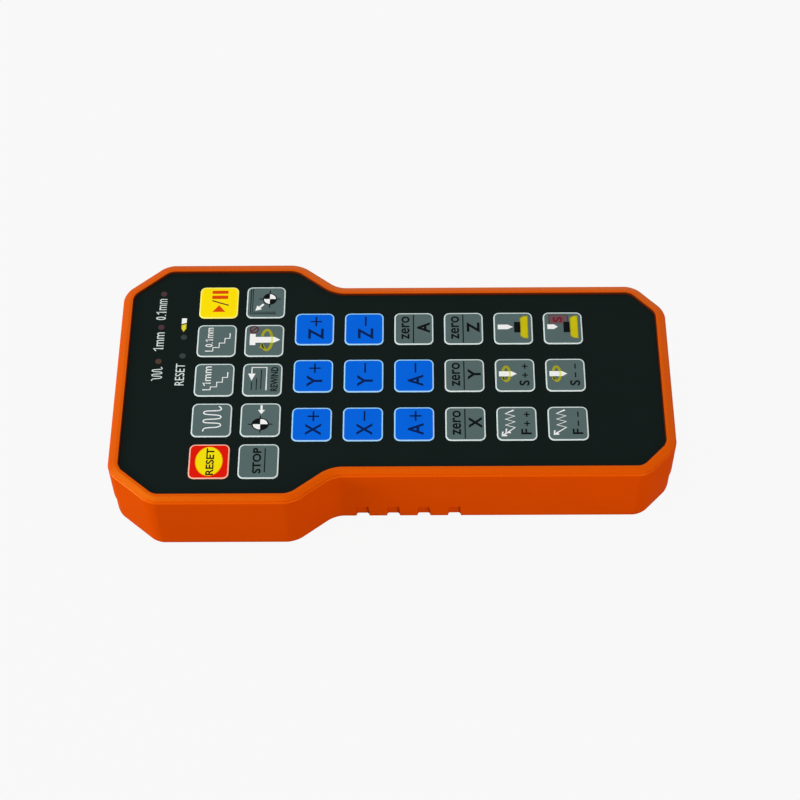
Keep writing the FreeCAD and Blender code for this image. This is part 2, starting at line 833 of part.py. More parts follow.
# Battery bay contents and its cover

def battery_cells():
    body = new_body("battery_cells")
    near_y, far_y = "-cell_spacing/2", "cell_spacing/2"
    near_start = f"({BAY_START} + contact_thickness + spring_length)"
    far_start = f"({BAY_START} + contact_thickness + cell_nub_length)"
    for y, start, nub_start in (
        (near_y, near_start, f"{near_start} + cell_length"),
        (far_y, far_start, f"{far_start} - cell_nub_length"),
    ):
        sketch = new_sketch(body, start, role="YZ_Plane")
        circles(sketch, [(y, CELL_HEIGHT)], "cell_radius")
        pad(body, sketch, "cell_length")
        sketch = new_sketch(body, nub_start, role="YZ_Plane")
        octagons(sketch, [(y, CELL_HEIGHT)], "cell_nub_radius")
        pad(body, sketch, "cell_nub_length")


def battery_contacts():
    """Two plates at the head end of the bay, with tails that reach the board."""
    body = new_body("battery_contacts")
    sketch = new_sketch(body, BAY_START, role="YZ_Plane")
    for side in ("-", ""):
        rectangle(
            sketch, f"{side}cell_spacing/2", f"(floor_thickness + {BOARD_BOTTOM})/2",
            "contact_width", f"({BOARD_BOTTOM} - floor_thickness)",
        )
    pad(body, sketch, "contact_thickness")


def battery_bridge():
    """The plate at the tail end that joins the two cells."""
    body = new_body("battery_bridge")
    sketch = new_sketch(body, f"{BAY_END} - contact_thickness", role="YZ_Plane")
    rectangle(
        sketch, "0", "(floor_thickness + bridge_top)/2",
        "(cell_spacing + contact_width)", "(bridge_top - floor_thickness)",
    )
    pad(body, sketch, "contact_thickness")


def battery_springs():
    """The space that the spring at the flat end of each cell takes up."""
    body = new_body("battery_springs")
    for side, start in (
        ("-", f"{BAY_START} + contact_thickness"),
        ("", f"{BAY_END} - contact_thickness - spring_length"),
    ):
        sketch = new_sketch(body, start, role="YZ_Plane")
        octagons(sketch, [(f"{side}cell_spacing/2", CELL_HEIGHT)], "spring_radius")
        pad(body, sketch, "spring_length")


def battery_cover():
    body = new_body("battery_cover")
    sketch = new_sketch(body, "0")
    rounded_rectangle(
        sketch, BAY_MIDDLE, "0",
        f"({COVER_LENGTH} - 2*cover_gap)", f"({COVER_WIDTH} - 2*cover_gap)", "cover_radius",
    )
    pad(body, sketch, "cover_thickness")
    sketch = new_sketch(body, "0")
    circles(sketch, COVER_SCREWS, "cover_screw_head_radius + screw_gap")
    pocket(body, sketch, "cover_screw_head_height", up=True)
    sketch = new_sketch(body, "0")
    octagons(sketch, COVER_SCREWS, "cover_screw_radius + screw_gap")
    pocket(body, sketch, "cover_thickness", up=True)


def battery_cover_screws():
    body = new_body("battery_cover_screws")
    sketch = new_sketch(body, "0")
    octagons(sketch, COVER_SCREWS, "cover_screw_head_radius")
    pad(body, sketch, "cover_screw_head_height")
    sketch = new_sketch(body, "0")
    octagons(sketch, COVER_SCREWS, "cover_screw_radius")
    pad(body, sketch, "cover_screw_length")


# Build every piece
front_shell()
back_shell()
case_seal()
case_screws()
overlay()
spacer()
keys()
keypad_board()
board_screws()
key_switches()
light_pipes()
status_lamps()
board_parts()
battery_cells()
battery_contacts()
battery_bridge()
battery_springs()
battery_cover()
battery_cover_screws()
doc.recompute()

# Check the whole document before anything is written
for item in doc.Objects:
    if "Invalid" in item.State or "Error" in item.State:
        raise RuntimeError(f"{item.Label} failed to build")
for name, piece in nodes.items():
    if piece.Shape.isNull() or not piece.Shape.isValid():
        raise RuntimeError(f"{name} has no valid shape")

# Write one file for each piece
os.makedirs("parts", exist_ok=True)
for name, piece in nodes.items():
    piece.Shape.exportStep(f"parts/{name}.step")
print(f"wrote {len(nodes)} pieces")
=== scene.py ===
import math

import bmesh
import bpy
from mathutils import Matrix, Vector


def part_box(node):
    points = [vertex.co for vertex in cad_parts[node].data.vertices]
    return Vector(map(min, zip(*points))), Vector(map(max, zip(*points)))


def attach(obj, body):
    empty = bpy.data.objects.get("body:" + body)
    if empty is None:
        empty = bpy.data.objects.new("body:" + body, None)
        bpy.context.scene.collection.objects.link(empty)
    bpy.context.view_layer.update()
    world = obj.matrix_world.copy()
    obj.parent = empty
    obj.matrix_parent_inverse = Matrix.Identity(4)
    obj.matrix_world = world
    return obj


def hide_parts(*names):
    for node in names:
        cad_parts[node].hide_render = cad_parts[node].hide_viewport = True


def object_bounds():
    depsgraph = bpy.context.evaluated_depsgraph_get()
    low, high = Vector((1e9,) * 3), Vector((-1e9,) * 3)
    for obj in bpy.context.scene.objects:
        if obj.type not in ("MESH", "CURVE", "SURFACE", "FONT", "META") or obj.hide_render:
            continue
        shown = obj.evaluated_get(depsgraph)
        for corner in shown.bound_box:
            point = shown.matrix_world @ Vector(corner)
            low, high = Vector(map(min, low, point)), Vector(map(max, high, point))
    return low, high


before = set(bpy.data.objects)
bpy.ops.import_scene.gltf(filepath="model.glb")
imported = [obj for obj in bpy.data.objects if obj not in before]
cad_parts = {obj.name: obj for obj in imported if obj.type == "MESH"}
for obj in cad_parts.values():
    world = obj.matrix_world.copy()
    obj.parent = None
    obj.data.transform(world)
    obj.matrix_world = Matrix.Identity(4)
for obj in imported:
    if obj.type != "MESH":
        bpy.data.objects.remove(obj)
cad_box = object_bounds()
MM = 0.001

# Camera
# A long lens looks down on the near side of the keypad, from a little to the right of it.
# The picture is turned by one degree, as the photograph is.
TARGET = Vector((2.43, -8.99, 29.3)) * MM
AZIMUTH = math.radians(0.89)
ELEVATION = math.radians(55.92)
ROLL = math.radians(-0.99)
DISTANCE = 675.7 * MM
LENS = 88.6

backward = Vector((
    math.sin(AZIMUTH) * math.cos(ELEVATION),
    -math.cos(AZIMUTH) * math.cos(ELEVATION),
    math.sin(ELEVATION),
))
level = Vector((math.cos(AZIMUTH), math.sin(AZIMUTH), 0.0))
upright = backward.cross(level)
across = level * math.cos(ROLL) + upright * math.sin(ROLL)
upward = upright * math.cos(ROLL) - level * math.sin(ROLL)
turn = Matrix((across, upward, backward)).transposed().to_euler()
bpy.ops.object.camera_add(location=TARGET + backward * DISTANCE, rotation=turn)
camera = bpy.context.object
camera.data.lens = LENS
camera.data.sensor_width = 36.0
camera.data.clip_start = 0.01
bpy.context.scene.camera = camera
bpy.context.scene.view_settings.view_transform = "Standard"

# Floor and light
# A plain white sweep under soft studio boxes, which lights the colours at about the level they are written.
# Lens, gloss and clear parts see it as white, darker only overhead, and the floor keeps the keypad's shadow.


def add(tree, kind, inputs=None, **settings):
    """Add one node, set its settings, and give its inputs values or links by name."""
    node = tree.nodes.new(kind)
    for name, value in settings.items():
        setattr(node, name, value)
    for name, value in (inputs or {}).items():
        if isinstance(value, bpy.types.NodeSocket):
            tree.links.new(value, node.inputs[name])
        else:
            node.inputs[name].default_value = value
    return node


def seen_directly(tree):
    """One for rays that come from the lens, a gloss or a clear part, and nothing for the rest."""
    ray = add(tree, "ShaderNodeLightPath").outputs
    both = add(tree, "ShaderNodeMath", {0: ray["Is Camera Ray"], 1: ray["Is Glossy Ray"]}, operation="ADD")
    clear = ray["Is Transmission Ray"]
    return add(tree, "ShaderNodeMath", {0: both.outputs[0], 1: clear}, operation="ADD", use_clamp=True)


WORLD_LEVEL = 0.4
CEILING_LEVEL, CEILING_START, CEILING_END = 0.1, 0.86, 0.97
SHADOW_SHARE = 0.07
FLOOR_SIZE, FLOOR_LEVEL, FLOOR_GREY = 6.0, -0.0002, 0.15
PAPER_WHITE = (1.0, 1.0, 1.0, 1.0)
world = bpy.data.worlds.new("studio")
bpy.context.scene.world = world
world.use_nodes = True
tree = world.node_tree
tree.nodes.clear()
room = add(tree, "ShaderNodeBackground", {"Color": PAPER_WHITE, "Strength": WORLD_LEVEL})
height = add(tree, "ShaderNodeSeparateXYZ", {0: add(tree, "ShaderNodeTexCoord").outputs["Generated"]})
ceiling = add(tree, "ShaderNodeMapRange", {
    "Value": height.outputs["Z"],
    "From Min": CEILING_START,
    "From Max": CEILING_END,
    "To Min": 1.0,
    "To Max": CEILING_LEVEL,
})
backdrop = add(tree, "ShaderNodeBackground", {"Color": PAPER_WHITE, "Strength": ceiling.outputs["Result"]})
share = seen_directly(tree)
chosen = add(tree, "ShaderNodeMixShader", {0: share.outputs[0], 1: room.outputs[0], 2: backdrop.outputs[0]})
add(tree, "ShaderNodeOutputWorld", {"Surface": chosen.outputs[0]})

bpy.ops.mesh.primitive_plane_add(size=FLOOR_SIZE, location=(0.0, 0.0, FLOOR_LEVEL))
floor = bpy.context.object
floor.name = "studio_floor"
paper = bpy.data.materials.new("white paper sweep")
paper.use_nodes = True
tree = paper.node_tree
tree.nodes.clear()
matt = add(tree, "ShaderNodeBsdfDiffuse", {"Color": (FLOOR_GREY, FLOOR_GREY, FLOOR_GREY, 1.0)})
white = add(tree, "ShaderNodeEmission", {"Color": PAPER_WHITE, "Strength": 1.0})
direct = seen_directly(tree)
share = add(tree, "ShaderNodeMath", {0: direct.outputs[0], 1: 1.0 - SHADOW_SHARE}, operation="MULTIPLY")
mixed = add(tree, "ShaderNodeMixShader", {0: share.outputs[0], 1: matt.outputs[0], 2: white.outputs[0]})
add(tree, "ShaderNodeOutputMaterial", {"Surface": mixed.outputs[0]})
floor.data.materials.append(paper)

# Each softbox has its place and width in metres, its power in watts, and its colour
WHITE, WARM = (1.0, 1.0, 1.0), (1.0, 0.8, 0.75)
SOFTBOXES = [
    ("key_light", (-0.55, 0.1, 1.2), 0.8, 4.7, WHITE),
    ("left_light", (-1.15, -0.25, 0.3), 0.6, 11.5, WHITE),
    ("front_light", (0.55, -0.95, 0.3), 0.6, 6.8, WARM),
    ("back_light", (0.2, 1.1, 0.6), 0.8, 1.0, WHITE),
]
for name, place, width, power, tint in SOFTBOXES:
    aim = (-Vector(place)).to_track_quat("-Z", "Y").to_euler()
    bpy.ops.object.light_add(type="AREA", location=place, rotation=aim)
    lamp = bpy.context.object
    lamp.name = name
    lamp.data.shape = "DISK"
    lamp.data.size = width
    lamp.data.energy = power
    lamp.data.color = tint

# Front shell
# The upper half of the case: an injection-moulded ABS shell with a raised rim round the recessed face.
# A narrow ledge runs round the outside of the rim, above the wall, and the rim slopes gently down to it.


def deselect_all():
    """Leave nothing selected, because an operator acts on all that is."""
    bpy.ops.object.select_all(action="DESELECT")


def edit(piece):
    """Open a piece for editing by itself, with nothing on it selected."""
    if bpy.context.object and bpy.context.object.mode == "EDIT":
        bpy.ops.object.mode_set(mode="OBJECT")
    deselect_all()
    piece.select_set(True)
    bpy.context.view_layer.objects.active = piece
    bpy.ops.object.mode_set(mode="EDIT")
    bpy.ops.mesh.select_all(action="DESELECT")


def close():
    """Leave edit mode."""
    bpy.ops.object.mode_set(mode="OBJECT")


def pick(kind, wanted):
    """Select the vertices, edges or faces of the open piece that wanted() says yes to."""
    bpy.ops.mesh.select_mode(type=kind)
    bpy.ops.mesh.select_all(action="DESELECT")
    mesh = bmesh.from_edit_mesh(bpy.context.object.data)
    for item in {"VERT": mesh.verts, "EDGE": mesh.edges, "FACE": mesh.faces}[kind]:
        if wanted(item):
            item.select_set(True)
    mesh.select_flush_mode()
    bmesh.update_edit_mesh(bpy.context.object.data)


NEAR = 0.01


def lies_at(height):
    """Edges that lie flat at a height, given in millimetres."""
    return lambda edge: all(abs(vertex.co.z / MM - height) < NEAR for vertex in edge.verts)


def level_face(height, up=1):
    """Faces that look straight up at a height in millimetres, or straight down where up is -1."""
    return lambda face: face.normal.z * up > 0.99 and abs(face.calc_center_median().z / MM - height) < NEAR


def rise(height):
    """Extrude the picked faces straight up by a height in millimetres, or down where it is negative."""
    bpy.ops.mesh.extrude_region_move(TRANSFORM_OT_translate={"value": (0.0, 0.0, height * MM)})


def inset(width, lift=0.0):
    """Draw a smaller face inside the picked one, and lift it by a height in millimetres."""
    bpy.ops.mesh.inset(thickness=width * MM, use_even_offset=True)
    bpy.ops.transform.translate(value=(0.0, 0.0, lift * MM))


def bevel(width, steps, kind="EDGES"):
    """Round the picked edges or corners over a width in millimetres."""
    bpy.ops.mesh.bevel(offset=width * MM, offset_type="OFFSET", segments=steps, profile=0.5, affect=kind)


def give_finish(number):
    """Give the picked faces one of the piece's materials, which the faces drawn from them then keep."""
    bpy.context.object.active_material_index = number
    bpy.ops.object.material_slot_assign()


SMOOTH_ANGLE = 35.0


def finish_edges(piece, width, angle):
    """Round every edge sharper than an angle, and keep the flats flat where light falls on them."""
    close()
    rounding = piece.modifiers.new("edges", "BEVEL")
    rounding.width = width * MM
    rounding.segments = 3
    rounding.limit_method = "ANGLE"
    rounding.angle_limit = math.radians(angle)
    rounding.harden_normals = False
    weighting = piece.modifiers.new("flats", "WEIGHTED_NORMAL")
    weighting.keep_sharp = True
    apply_all(piece)


def apply_all(piece):
    """Smooth a piece's shading and apply its modifiers."""
    deselect_all()
    piece.select_set(True)
    bpy.context.view_layer.objects.active = piece
    bpy.ops.object.shade_smooth_by_angle(angle=math.radians(SMOOTH_ANGLE))
    for modifier in list(piece.modifiers):
        bpy.ops.object.modifier_apply(modifier=modifier.name)


def turn_outward(piece):
    """Merge doubled points and make all the faces look outwards."""
    edit(piece)
    bpy.ops.mesh.select_all(action="SELECT")
    bpy.ops.mesh.remove_doubles(threshold=0.001 * MM)
    bpy.ops.mesh.normals_make_consistent(inside=False)
    close()


# Sizes are in millimetres and angles in degrees, with the case's outline taken from its two ends
CASE_LENGTH = (cad_box[1][0] - cad_box[0][0]) / MM
HEAD_WIDTH = (cad_box[1][1] - cad_box[0][1]) / MM
GRIP_WIDTH = 79.6
HEAD_CHAMFER, HEAD_ANGLE = 14.8, 40.2
SHOULDER_START, SHOULDER_ANGLE = 62.7, 37.5
TAIL_CHAMFER, TAIL_ANGLE = 10.4, 46.4
CORNER_RADIUS, SHOULDER_RADIUS, WAIST_RADIUS = 7.5, 9.8, 8.2
CORNER_STEPS = 10
RIM_TOP = 30.0
PARTING = 13.2
LEDGE_WIDTH, LEDGE_DROP, LEDGE_ROUND = 0.65, 0.9, 0.6
SLOPE_WIDTH, SLOPE_DROP = 1.75, 0.45
RIM_WIDTH = 3.8
LIP_WIDTH, LIP_DROP = 0.36, 0.35
EDGE_BREAK, EDGE_ANGLE = 0.15, 12.0
WALL = 3.0
PLATE_TOP = 28.2
PLATE_THICKNESS = 2.0


def tangent(degrees):
    """The tangent of an angle in degrees."""
    return math.tan(math.radians(degrees))


def case_corners():
    """The sharp corners of the case on its far side, from the tail to the head, with radius and turn."""
    end, half_head, half_grip = CASE_LENGTH / 2, HEAD_WIDTH / 2, GRIP_WIDTH / 2
    shoulder_run = (half_head - half_grip) / tangent(SHOULDER_ANGLE)
    return [
        (end, half_grip - TAIL_CHAMFER * tangent(TAIL_ANGLE), CORNER_RADIUS, 90 - TAIL_ANGLE),
        (end - TAIL_CHAMFER, half_grip, CORNER_RADIUS, TAIL_ANGLE),
        (SHOULDER_START - end + shoulder_run, half_grip, WAIST_RADIUS, SHOULDER_ANGLE),
        (SHOULDER_START - end, half_head, SHOULDER_RADIUS, SHOULDER_ANGLE),
        (HEAD_CHAMFER - end, half_head, CORNER_RADIUS, HEAD_ANGLE),
        (-end, half_head - HEAD_CHAMFER * tangent(HEAD_ANGLE), CORNER_RADIUS, 90 - HEAD_ANGLE),
    ]


def case_sheet(name, height):
    """A flat face in the case's outline at a height, with its corners rounded, open for editing."""
    corners = case_corners()
    around = corners + [(x, -y, radius, bend) for x, y, radius, bend in reversed(corners)]
    bpy.ops.mesh.primitive_circle_add(vertices=len(around), fill_type="NGON", location=(0.0, 0.0, 0.0))
    piece = bpy.context.object
    piece.name = name
    for vertex, (x, y, radius, bend) in zip(piece.data.vertices, around):
        vertex.co = Vector((x, y, height)) * MM
    edit(piece)
    for x, y, radius, bend in corners:
        corner = Vector((x, y)) * MM
        pick("VERT", lambda v, corner=corner: (Vector((v.co.x, abs(v.co.y))) - corner).length < NEAR * MM)
        bevel(radius * tangent(bend / 2), CORNER_STEPS, "VERTICES")
    bpy.ops.mesh.select_all(action="SELECT")
    bpy.ops.mesh.normals_make_consistent(inside=False)
    return piece


def linear(hex_colour):
    """An sRGB hex colour as the linear colour that a shader takes."""
    values = [int(hex_colour[place:place + 2], 16) / 255 for place in (1, 3, 5)]
    return tuple(v / 12.92 if v <= 0.04045 else ((v + 0.055) / 1.055) ** 2.4 for v in values) + (1.0,)


def new_material(name, **finish):
    """A material with one surface shader, whose constant values are set on its own sockets."""
    material = bpy.data.materials.new(name)
    material.use_nodes = True
    surface = material.node_tree.nodes["Principled BSDF"]
    for socket, value in finish.items():
        surface.inputs[socket.replace("_", " ")].default_value = value
    return material


def grained(material, colour, darker, grain_mm, depth_mm, rough, cloud_mm=18.0):
    """Give a material fine surface grain, an uneven roughness and slight clouds of colour."""
    tree = material.node_tree
    surface = tree.nodes["Principled BSDF"]
    place = add(tree, "ShaderNodeTexCoord").outputs["Object"]
    noise = add(tree, "ShaderNodeTexNoise", {"Vector": place, "Scale": 1 / (grain_mm * MM), "Detail": 3.0})
    grain = noise.outputs["Fac"]
    clouds = add(tree, "ShaderNodeTexNoise", {"Vector": place, "Scale": 1 / (cloud_mm * MM), "Detail": 2.0})
    bump = add(tree, "ShaderNodeBump", {"Height": grain, "Strength": 1.0, "Distance": depth_mm * MM})
    gloss = add(tree, "ShaderNodeMapRange", {
        "Value": grain,
        "From Min": 0.3,
        "From Max": 0.7,
        "To Min": rough[0],
        "To Max": rough[1],
    })
    mixed = {"Factor": clouds.outputs["Fac"], 6: linear(darker), 7: linear(colour)}
    tint = add(tree, "ShaderNodeMix", mixed, data_type="RGBA")
    tree.links.new(bump.outputs["Normal"], surface.inputs["Normal"])
    tree.links.new(gloss.outputs["Result"], surface.inputs["Roughness"])
    tree.links.new(tint.outputs[2], surface.inputs["Base Color"])


# Moulded ABS with a spark-eroded grain that scatters the light, so the walls show their full orange.
# The grain is drawn coarser than the real tenth of a millimetre, so that it shows.
orange_abs = new_material("moulded orange ABS", IOR=1.54, Specular_IOR_Level=0.001)
grained(orange_abs, "#DB4F00", "#D54B00", grain_mm=0.35, depth_mm=0.012, rough=(0.34, 0.46))
# The rim is polished in the mould, so it takes a warm sheen from what lies behind the keypad
polished_abs = new_material(
    "polished orange ABS", IOR=1.54, Specular_IOR_Level=0.3, Specular_Tint=(1.0, 0.95, 0.05, 1.0)
)
grained(polished_abs, "#DA5100", "#D44D00", grain_mm=0.35, depth_mm=0.008, rough=(0.24, 0.34))
# Painted shade: the rim's inner lip, down to the printed face, is dark brown for the shade in that corner
lip_painted_shade = new_material("orange lip in painted shade", IOR=1.5, Specular_IOR_Level=0.05)
grained(lip_painted_shade, "#561C02", "#481602", grain_mm=0.2, depth_mm=0.01, rough=(0.5, 0.7))
BODY_FINISH, RIM_FINISH, LIP_SHADE_FINISH = 0, 1, 2

shell = case_sheet("front_shell_moulding", PARTING)
for finish in (orange_abs, polished_abs, lip_painted_shade):
    shell.data.materials.append(finish)
pick("FACE", lambda face: True)
rise(RIM_TOP - LEDGE_DROP - PARTING)
give_finish(RIM_FINISH)
inset(LEDGE_WIDTH)
rise(LEDGE_DROP - SLOPE_DROP)
inset(SLOPE_WIDTH, SLOPE_DROP)
inset(RIM_WIDTH - LEDGE_WIDTH - SLOPE_WIDTH - LIP_WIDTH)
# Painted shade: the inner lip takes the dark brown that stands for the shade of the recess corner
give_finish(LIP_SHADE_FINISH)
inset(LIP_WIDTH, -LIP_DROP)
rise(PLATE_TOP - RIM_TOP + LIP_DROP)
give_finish(BODY_FINISH)
pick("FACE", level_face(PARTING, up=-1))
inset(WALL)
rise(PLATE_TOP - PLATE_THICKNESS - PARTING)
on_ledge = lies_at(RIM_TOP - LEDGE_DROP)


def meets_wall(edge):
    """Whether one of an edge's faces is a wall, whose middle is well below the ledge."""
    return any(face.calc_center_median().z / MM < RIM_TOP - LEDGE_DROP - 1.0 for face in edge.link_faces)


pick("EDGE", lambda edge: on_ledge(edge) and meets_wall(edge))
bevel(LEDGE_ROUND, 5)
turn_outward(shell)
finish_edges(shell, EDGE_BREAK, EDGE_ANGLE)
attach(shell, "case")
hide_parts("front_shell")

# Back shell
# The lower half of the same ABS, moulded with a large radius round its underside.
# Four grip grooves cross the underside and turn up both sides of the grip, where they run out.
SHELL_STEP = 0.4
BOTTOM_ROUND = 4.2
GROOVE_START, GROOVE_PITCH, GROOVE_COUNT = -10.6, 10.55, 4
GROOVE_MOUTH, GROOVE_ROOT, GROOVE_DEPTH, GROOVE_FLARE = 4.9, 3.3, 2.05, 0.5
GROOVE_RISE, GROOVE_RUN_OUT = 8.8, 1.1
TOOL_BASE, TOOL_REACH = -0.5, 1.0


def cut_away(piece, tool):
    """Cut a shape out of a piece, and throw the shape away."""
    cut = piece.modifiers.new("cut", "BOOLEAN")
    cut.operation = "DIFFERENCE"
    cut.object = tool
    cut.solver = "EXACT"
    deselect_all()
    bpy.context.view_layer.objects.active = piece
    bpy.ops.object.modifier_apply(modifier=cut.name)
    bpy.data.objects.remove(tool)


def block(name, low, high):
    """A box between two corners, in millimetres."""
    bpy.ops.mesh.primitive_cube_add(size=1.0)
    piece = bpy.context.object
    piece.name = name
    middle = (Vector(low) + Vector(high)) / 2
    size = Vector(high) - Vector(low)
    for vertex in piece.data.vertices:
        vertex.co = Vector(m + c * s for m, c, s in zip(middle, vertex.co, size)) * MM
    return piece


def narrow_to_root(tool, centre, deep):
    """Draw a groove's tool in to its root where it is deep, and widen its mouth at the underside."""
    for vertex in tool.data.vertices:
        half = GROOVE_ROOT / 2 if deep(vertex.co) else GROOVE_MOUTH / 2
        if vertex.co.z < 0:
            half += GROOVE_FLARE
        vertex.co.x = (centre + math.copysign(half, vertex.co.x / MM - centre)) * MM


shell = case_sheet("back_shell_moulding", PARTING)
shell.data.materials.append(orange_abs)
pick("FACE", lambda face: True)
inset(SHELL_STEP)
bpy.ops.mesh.select_all(action="INVERT")
bpy.ops.mesh.delete(type="FACE")
pick("FACE", lambda face: True)
rise(-PARTING)
pick("EDGE", lies_at(0.0))
bevel(BOTTOM_ROUND, 7)
turn_outward(shell)
half_grip = GRIP_WIDTH / 2
groove_root = half_grip - SHELL_STEP - GROOVE_DEPTH
groove_reach = half_grip + TOOL_REACH
for number in range(GROOVE_COUNT):
    centre = GROOVE_START + number * GROOVE_PITCH
    start, end = centre - GROOVE_MOUTH / 2, centre + GROOVE_MOUTH / 2
    under = block("groove_under", (start, -groove_reach, TOOL_BASE), (end, groove_reach, GROOVE_DEPTH))
    narrow_to_root(under, centre, lambda place: place.z > 0)
    cut_away(shell, under)
    for side in (-1, 1):
        low, high = sorted((side * groove_root, side * groove_reach))
        turned_up = block("groove_side", (start, low, TOOL_BASE), (end, high, GROOVE_RISE))
        narrow_to_root(turned_up, centre, lambda place: abs(place.y) / MM < half_grip)
        for vertex in turned_up.data.vertices:
            if vertex.co.z > 0 and abs(vertex.co.y) / MM < half_grip:
                vertex.co.y += side * GROOVE_RUN_OUT * MM
        cut_away(shell, turned_up)
cover_low, cover_high = (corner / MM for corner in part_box("battery_cover"))
cover_length, cover_width = cover_high.x - cover_low.x, cover_high.y - cover_low.y
cover_middle = ((cover_low.x + cover_high.x) / 2, (cover_low.y + cover_high.y) / 2)
COVER_GAP, COVER_ROUND = 0.15, 3.0
SCREW_SITES = [(x, side * y) for x, y in ((-86.5, 30.0), (-28.0, 37.0), (80.0, 29.5)) for side in (-1, 1)]
SCREW_WELL_RADIUS, SCREW_SEAT = 3.0, 5.0


def rounded_plate(name, middle, length, width, radius, height):
    """A flat rectangle with rounded corners at a height, all of it picked and open for editing."""
    bpy.ops.mesh.primitive_plane_add(size=1.0)
    piece = bpy.context.object
    piece.name = name
    for vertex in piece.data.vertices:
        vertex.co = Vector((middle[0] + vertex.co.x * length, middle[1] + vertex.co.y * width, height)) * MM
    edit(piece)
    bpy.ops.mesh.select_all(action="SELECT")
    bevel(radius, 6, "VERTICES")
    bpy.ops.mesh.select_all(action="SELECT")
    return piece


def round_bar(name, x, y, radius, low, high, sides=32):
    """An upright cylinder between two heights."""
    bpy.ops.mesh.primitive_cylinder_add(vertices=sides, radius=radius * MM, depth=(high - low) * MM)
    piece = bpy.context.object
    piece.name = name
    piece.data.transform(Matrix.Translation(Vector((x, y, (low + high) / 2)) * MM))
    return piece


rebate_length, rebate_width = cover_length + 2 * COVER_GAP, cover_width + 2 * COVER_GAP
rebate = rounded_plate("rebate", cover_middle, rebate_length, rebate_width, COVER_ROUND, -TOOL_REACH)
rise(TOOL_REACH + cover_high.z)
turn_outward(rebate)
cut_away(shell, rebate)
for x, y in SCREW_SITES:
    cut_away(shell, round_bar("screw_well", x, y, SCREW_WELL_RADIUS, -TOOL_REACH, SCREW_SEAT))
apply_all(shell)
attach(shell, "case")
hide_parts("back_shell")

# Battery cover
# A plain ABS plate that lies flush in a rebate of the underside, with its edges broken all round.
# Two small screws hold it, with their heads sunk in counterbores.
COVER_SCREW_SPREAD = 19.7
COVER_SCREW_SITES = [(cover_middle[0], side * COVER_SCREW_SPREAD) for side in (-1, 1)]
COVER_HEAD_RADIUS, COVER_HEAD_HEIGHT, COVER_HEAD_GAP = 2.4, 1.2, 0.1
COVER_EDGE_BREAK, COVER_EDGE_ANGLE = 0.25, 40.0

cover = rounded_plate("battery_cover_plate", cover_middle, cover_length, cover_width, COVER_ROUND, 0.0)
rise(cover_high.z)
turn_outward(cover)
bore_radius = COVER_HEAD_RADIUS + COVER_HEAD_GAP
for x, y in COVER_SCREW_SITES:
    cut_away(cover, round_bar("counterbore", x, y, bore_radius, -TOOL_REACH, COVER_HEAD_HEIGHT))
finish_edges(cover, COVER_EDGE_BREAK, COVER_EDGE_ANGLE)
cover.data.materials.append(orange_abs)
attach(cover, "case")
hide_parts("battery_cover")

# Screws
# Zinc-plated steel screws with low domed heads and a cross recess, six for the case and two for the cover.
# They are cold-headed and rolled, so the metal is bright, with a faint directionless grain.
zinc = new_material("bright zinc-plated steel", Metallic=1.0)
grained(zinc, "#B9BBBA", "#A6A9A9", grain_mm=0.12, depth_mm=0.002, rough=(0.26, 0.42), cloud_mm=1.5)
# Shares of the head's height, for its round and recess, and of its radius, for the recess's two arms
HEAD_ROUND, RECESS_DEPTH, RECESS_TAPER = 0.35, 0.6, 0.6
RECESS_REACH, RECESS_BREADTH = 0.58, 0.13


def screw(x, y, head_radius, head_low, head_high, shank_radius, shank_top):
    """A screw that stands head down, with a cross recess in its head."""
    head = round_bar("screw", x, y, head_radius, head_low, head_high, sides=40)
    head_height = head_high - head_low
    edit(head)
    pick("EDGE", lies_at(head_low))
    bevel(head_height * HEAD_ROUND, 4)
    close()
    reach, breadth = head_radius * RECESS_REACH, head_radius * RECESS_BREADTH
    for half_x, half_y in ((breadth, reach), (reach, breadth)):
        slot = block("recess", (x - half_x, y - half_y, head_low + TOOL_BASE),
                     (x + half_x, y + half_y, head_low + head_height * RECESS_DEPTH))
        for vertex in slot.data.vertices:
            if vertex.co.z / MM > head_low:
                vertex.co.x = (x + (vertex.co.x / MM - x) * RECESS_TAPER) * MM
                vertex.co.y = (y + (vertex.co.y / MM - y) * RECESS_TAPER) * MM
        cut_away(head, slot)
    shank = round_bar("shank", x, y, shank_radius, head_high, shank_top, sides=24)
    return [head, shank]


def join(name, pieces):
    """Join several pieces into the first one, under a new name."""
    deselect_all()
    for piece in pieces:
        piece.select_set(True)
    bpy.context.view_layer.objects.active = pieces[0]
    if len(pieces) > 1:
        bpy.ops.object.join()
    pieces[0].name = name
    return pieces[0]


# Each kind of screw has its sites, then its head's radius, bottom and top, and its shank's radius and top
for node, sites, sizes in (
    ("case_screws", SCREW_SITES, (2.8, 3.0, SCREW_SEAT, 1.5, 17.0)),
    ("battery_cover_screws", COVER_SCREW_SITES, (COVER_HEAD_RADIUS, 0.0, COVER_HEAD_HEIGHT, 1.25, 6.6)),
):
    pieces = [piece for x, y in sites for piece in screw(x, y, *sizes)]
    group = join(node + "_plated", pieces)
    apply_all(group)
    group.data.materials.append(zinc)
    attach(group, "case")
    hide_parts(node)

# Printed face
# One sheet of polyester film, printed near-black on its back and satin on its front, in the rim's recess.
# It has a window for each key, with the same rounded corners as the key.
FILM_TOP, FILM_BOTTOM = 29.2, 28.7
KEY_SIZE, KEY_ROUND = 13.64, 2.0
KEY_TOP, KEY_BOTTOM = 29.4, 28.65
KEY_GAP = 0.05
FACE_GAP = 0.1

# Satin polyester film over near-black ink: a very fine matt grain and a faint green cast
black_film = new_material("satin black printed film", IOR=1.6, Specular_IOR_Level=0.02)
grained(black_film, "#121C1A", "#0F1917", grain_mm=0.25, depth_mm=0.004, rough=(0.42, 0.55))


def key_middle(name):
    """The middle of a key, in millimetres, from its CAD node."""
    low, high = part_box(name)
    return (low.x + high.x) / 2 / MM, (low.y + high.y) / 2 / MM


